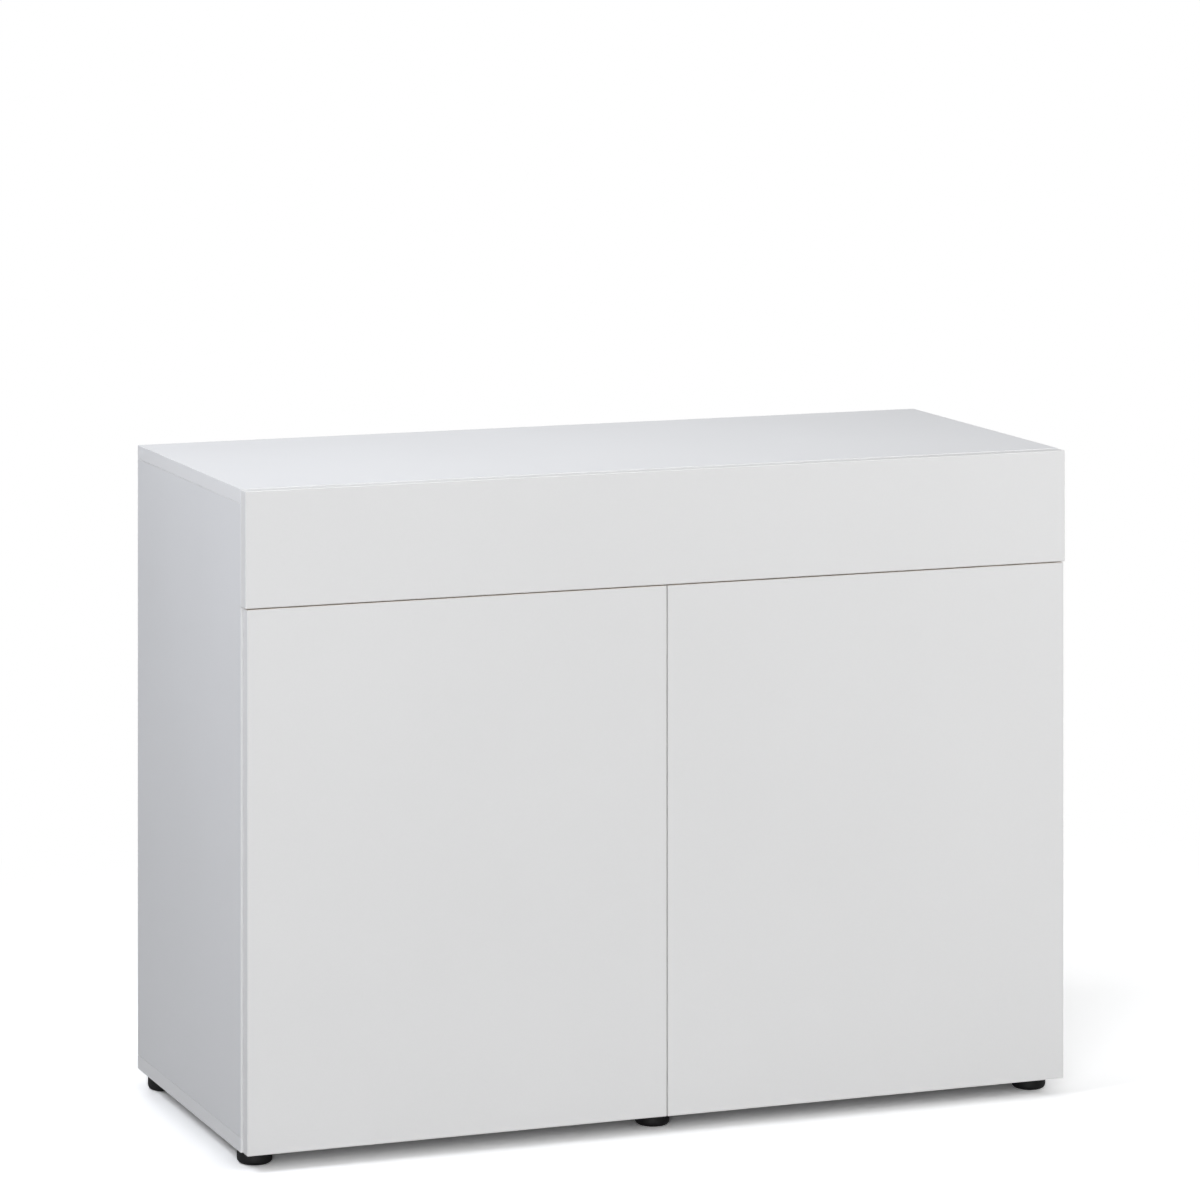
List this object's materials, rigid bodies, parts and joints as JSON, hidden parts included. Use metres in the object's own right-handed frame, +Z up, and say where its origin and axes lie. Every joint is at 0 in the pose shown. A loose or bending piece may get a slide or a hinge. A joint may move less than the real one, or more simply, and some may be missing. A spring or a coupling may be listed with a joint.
{
  "type": "aquarium stand cabinet",
  "caption": "White aquarium stand cabinet with handle-less overlay doors under a full-width fascia, on round black levelling feet",
  "frame": {"origin": "on the floor, under the middle of the cabinet's footprint", "axes": "+X to the right seen from the front, +Y towards the back (the doors face -Y), +Z up"},
  "size_m": [1.01, 0.41, 0.755],
  "materials": {
    "white_front": "white melamine-faced chipboard, satin, fronts and fascia",
    "white_board": "white melamine-faced chipboard, satin, carcass",
    "white_back": "white lacquered hardboard back",
    "black_plastic": "black moulded plastic, fine matte",
    "zinc_steel": "zinc-plated steel",
    "nickel_steel": "nickel-plated steel",
    "grey_plastic": "light grey moulded plastic",
    "clear_soft_plastic": "clear soft buffer plastic"
  },
  "bodies": {
    "cabinet": {"bottom_board": "white_board", "top_board": "white_board", "side_panel_left": "white_board", "side_panel_right": "white_board", "centre_partition": "white_board", "front_rail_left": "white_board", "front_rail_right": "white_board", "back_panel_left": "white_back", "back_panel_right": "white_back", "cable_grommet_left": "black_plastic", "cable_grommet_right": "black_plastic", "fascia_panel": "white_front", "shelf": "white_board", "shelf_pin_partition_front": "nickel_steel", "shelf_pin_partition_rear": "nickel_steel", "shelf_pin_side_front": "nickel_steel", "shelf_pin_side_rear": "nickel_steel", "foot_socket_front_left": "zinc_steel", "foot_socket_front_middle": "zinc_steel", "foot_socket_front_right": "zinc_steel", "foot_socket_rear_left": "zinc_steel", "foot_socket_rear_middle": "zinc_steel", "foot_socket_rear_right": "zinc_steel", "hinge_arm_left_lower": "nickel_steel", "hinge_pin_left_lower": "zinc_steel", "mounting_plate_left_lower": "zinc_steel", "hinge_arm_left_upper": "nickel_steel", "hinge_pin_left_upper": "zinc_steel", "mounting_plate_left_upper": "zinc_steel", "latch_body_left": "grey_plastic", "hinge_arm_right_lower": "nickel_steel", "hinge_pin_right_lower": "zinc_steel", "mounting_plate_right_lower": "zinc_steel", "hinge_arm_right_upper": "nickel_steel", "hinge_pin_right_upper": "zinc_steel", "mounting_plate_right_upper": "zinc_steel", "latch_body_right": "grey_plastic"},
    "door_left": {"door_left": "white_front", "hinge_cup_left_lower": "nickel_steel", "door_buffer_left_lower": "clear_soft_plastic", "hinge_cup_left_upper": "nickel_steel", "door_buffer_left_upper": "clear_soft_plastic", "strike_disc_left": "zinc_steel"},
    "plunger_left": {"latch_plunger_left": "black_plastic"},
    "door_right": {"door_right": "white_front", "hinge_cup_right_lower": "nickel_steel", "door_buffer_right_lower": "clear_soft_plastic", "hinge_cup_right_upper": "nickel_steel", "door_buffer_right_upper": "clear_soft_plastic", "strike_disc_right": "zinc_steel"},
    "plunger_right": {"latch_plunger_right": "black_plastic"},
    "foot_front_left": {"foot_front_left": "black_plastic"},
    "foot_front_middle": {"foot_front_middle": "black_plastic"},
    "foot_front_right": {"foot_front_right": "black_plastic"},
    "foot_rear_left": {"foot_rear_left": "black_plastic"},
    "foot_rear_middle": {"foot_rear_middle": "black_plastic"},
    "foot_rear_right": {"foot_rear_right": "black_plastic"}
  },
  "joints": [
    {"name": "door_left_swing", "type": "hinge", "parent": "cabinet", "child": "door_left", "pos_m": [-0.4966, -0.1983, 0.321], "axis": [0, 0, -1], "range_deg": [0, 95]},
    {"name": "latch_left_press", "type": "slide", "parent": "cabinet", "child": "plunger_left", "axis": [0, 1, 0], "range_m": [0, 0.004], "stiffness_N_per_m": 400},
    {"name": "door_right_swing", "type": "hinge", "parent": "cabinet", "child": "door_right", "pos_m": [0.4966, -0.1983, 0.321], "axis": [0, 0, 1], "range_deg": [0, 95]},
    {"name": "latch_right_press", "type": "slide", "parent": "cabinet", "child": "plunger_right", "axis": [0, 1, 0], "range_m": [0, 0.004], "stiffness_N_per_m": 400},
    {"name": "foot_front_left_height", "type": "slide", "parent": "cabinet", "child": "foot_front_left", "axis": [0, 0, -1], "range_m": [0, 0.008]},
    {"name": "foot_front_middle_height", "type": "slide", "parent": "cabinet", "child": "foot_front_middle", "axis": [0, 0, -1], "range_m": [0, 0.008]},
    {"name": "foot_front_right_height", "type": "slide", "parent": "cabinet", "child": "foot_front_right", "axis": [0, 0, -1], "range_m": [0, 0.008]},
    {"name": "foot_rear_left_height", "type": "slide", "parent": "cabinet", "child": "foot_rear_left", "axis": [0, 0, -1], "range_m": [0, 0.008]},
    {"name": "foot_rear_middle_height", "type": "slide", "parent": "cabinet", "child": "foot_rear_middle", "axis": [0, 0, -1], "range_m": [0, 0.008]},
    {"name": "foot_rear_right_height", "type": "slide", "parent": "cabinet", "child": "foot_rear_right", "axis": [0, 0, -1], "range_m": [0, 0.008]}
  ]
}
